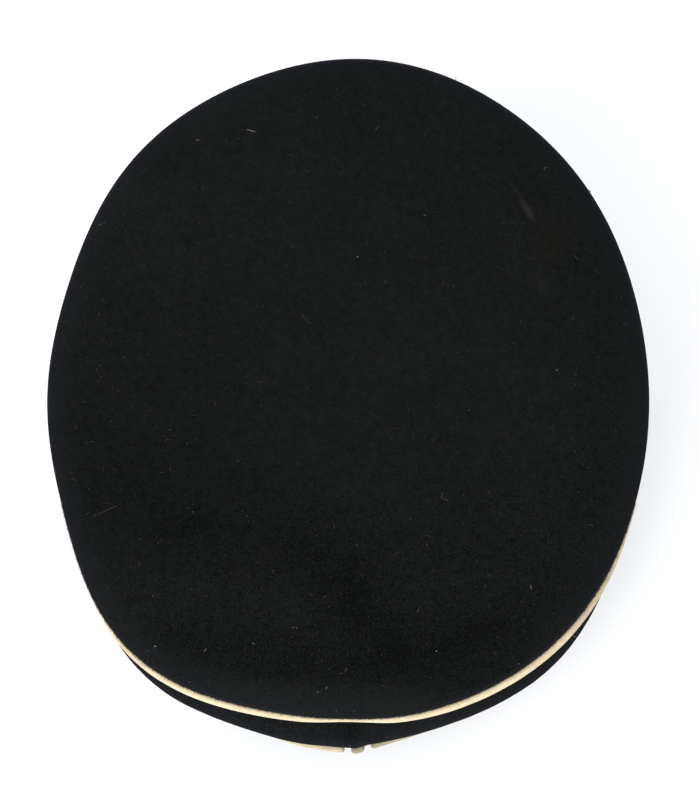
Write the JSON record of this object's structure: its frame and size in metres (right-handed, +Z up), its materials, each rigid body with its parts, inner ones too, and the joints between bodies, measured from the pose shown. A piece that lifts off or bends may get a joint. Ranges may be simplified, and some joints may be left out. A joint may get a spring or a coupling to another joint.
{
  "type": "visor cap",
  "caption": "Visor cap: raked oval cloth crown over a cloth band, pale piping in both seams, a stiff glossy peak; it rests on the peak's edge and the back of the band.",
  "frame": {"origin": "on the table under the middle of the resting cap", "axes": "-Y where the peak points, +Y the back of the cap, +X the wearer's left, +Z up; the cap leans back about 8 degrees because it rests on the peak's edge and the back of the band"},
  "size_m": [0.248, 0.265, 0.1722],
  "materials": {
    "crown_cloth": "black milled wool cloth with a short nap",
    "piping_cloth": "cream wool felt over cord",
    "band_cloth": "black milled wool cloth",
    "peak_lacquer": "glossy black lacquer"
  },
  "bodies": {
    "root": {"crown_top": "crown_cloth", "crown_quarter_front_left": "crown_cloth", "crown_quarter_front_right": "crown_cloth", "crown_quarter_rear_left": "crown_cloth", "crown_quarter_rear_right": "crown_cloth", "crown_piping": "piping_cloth", "cap_band": "band_cloth", "band_piping": "piping_cloth", "piping_end": "piping_cloth", "peak": "peak_lacquer"}
  },
  "joints": []
}
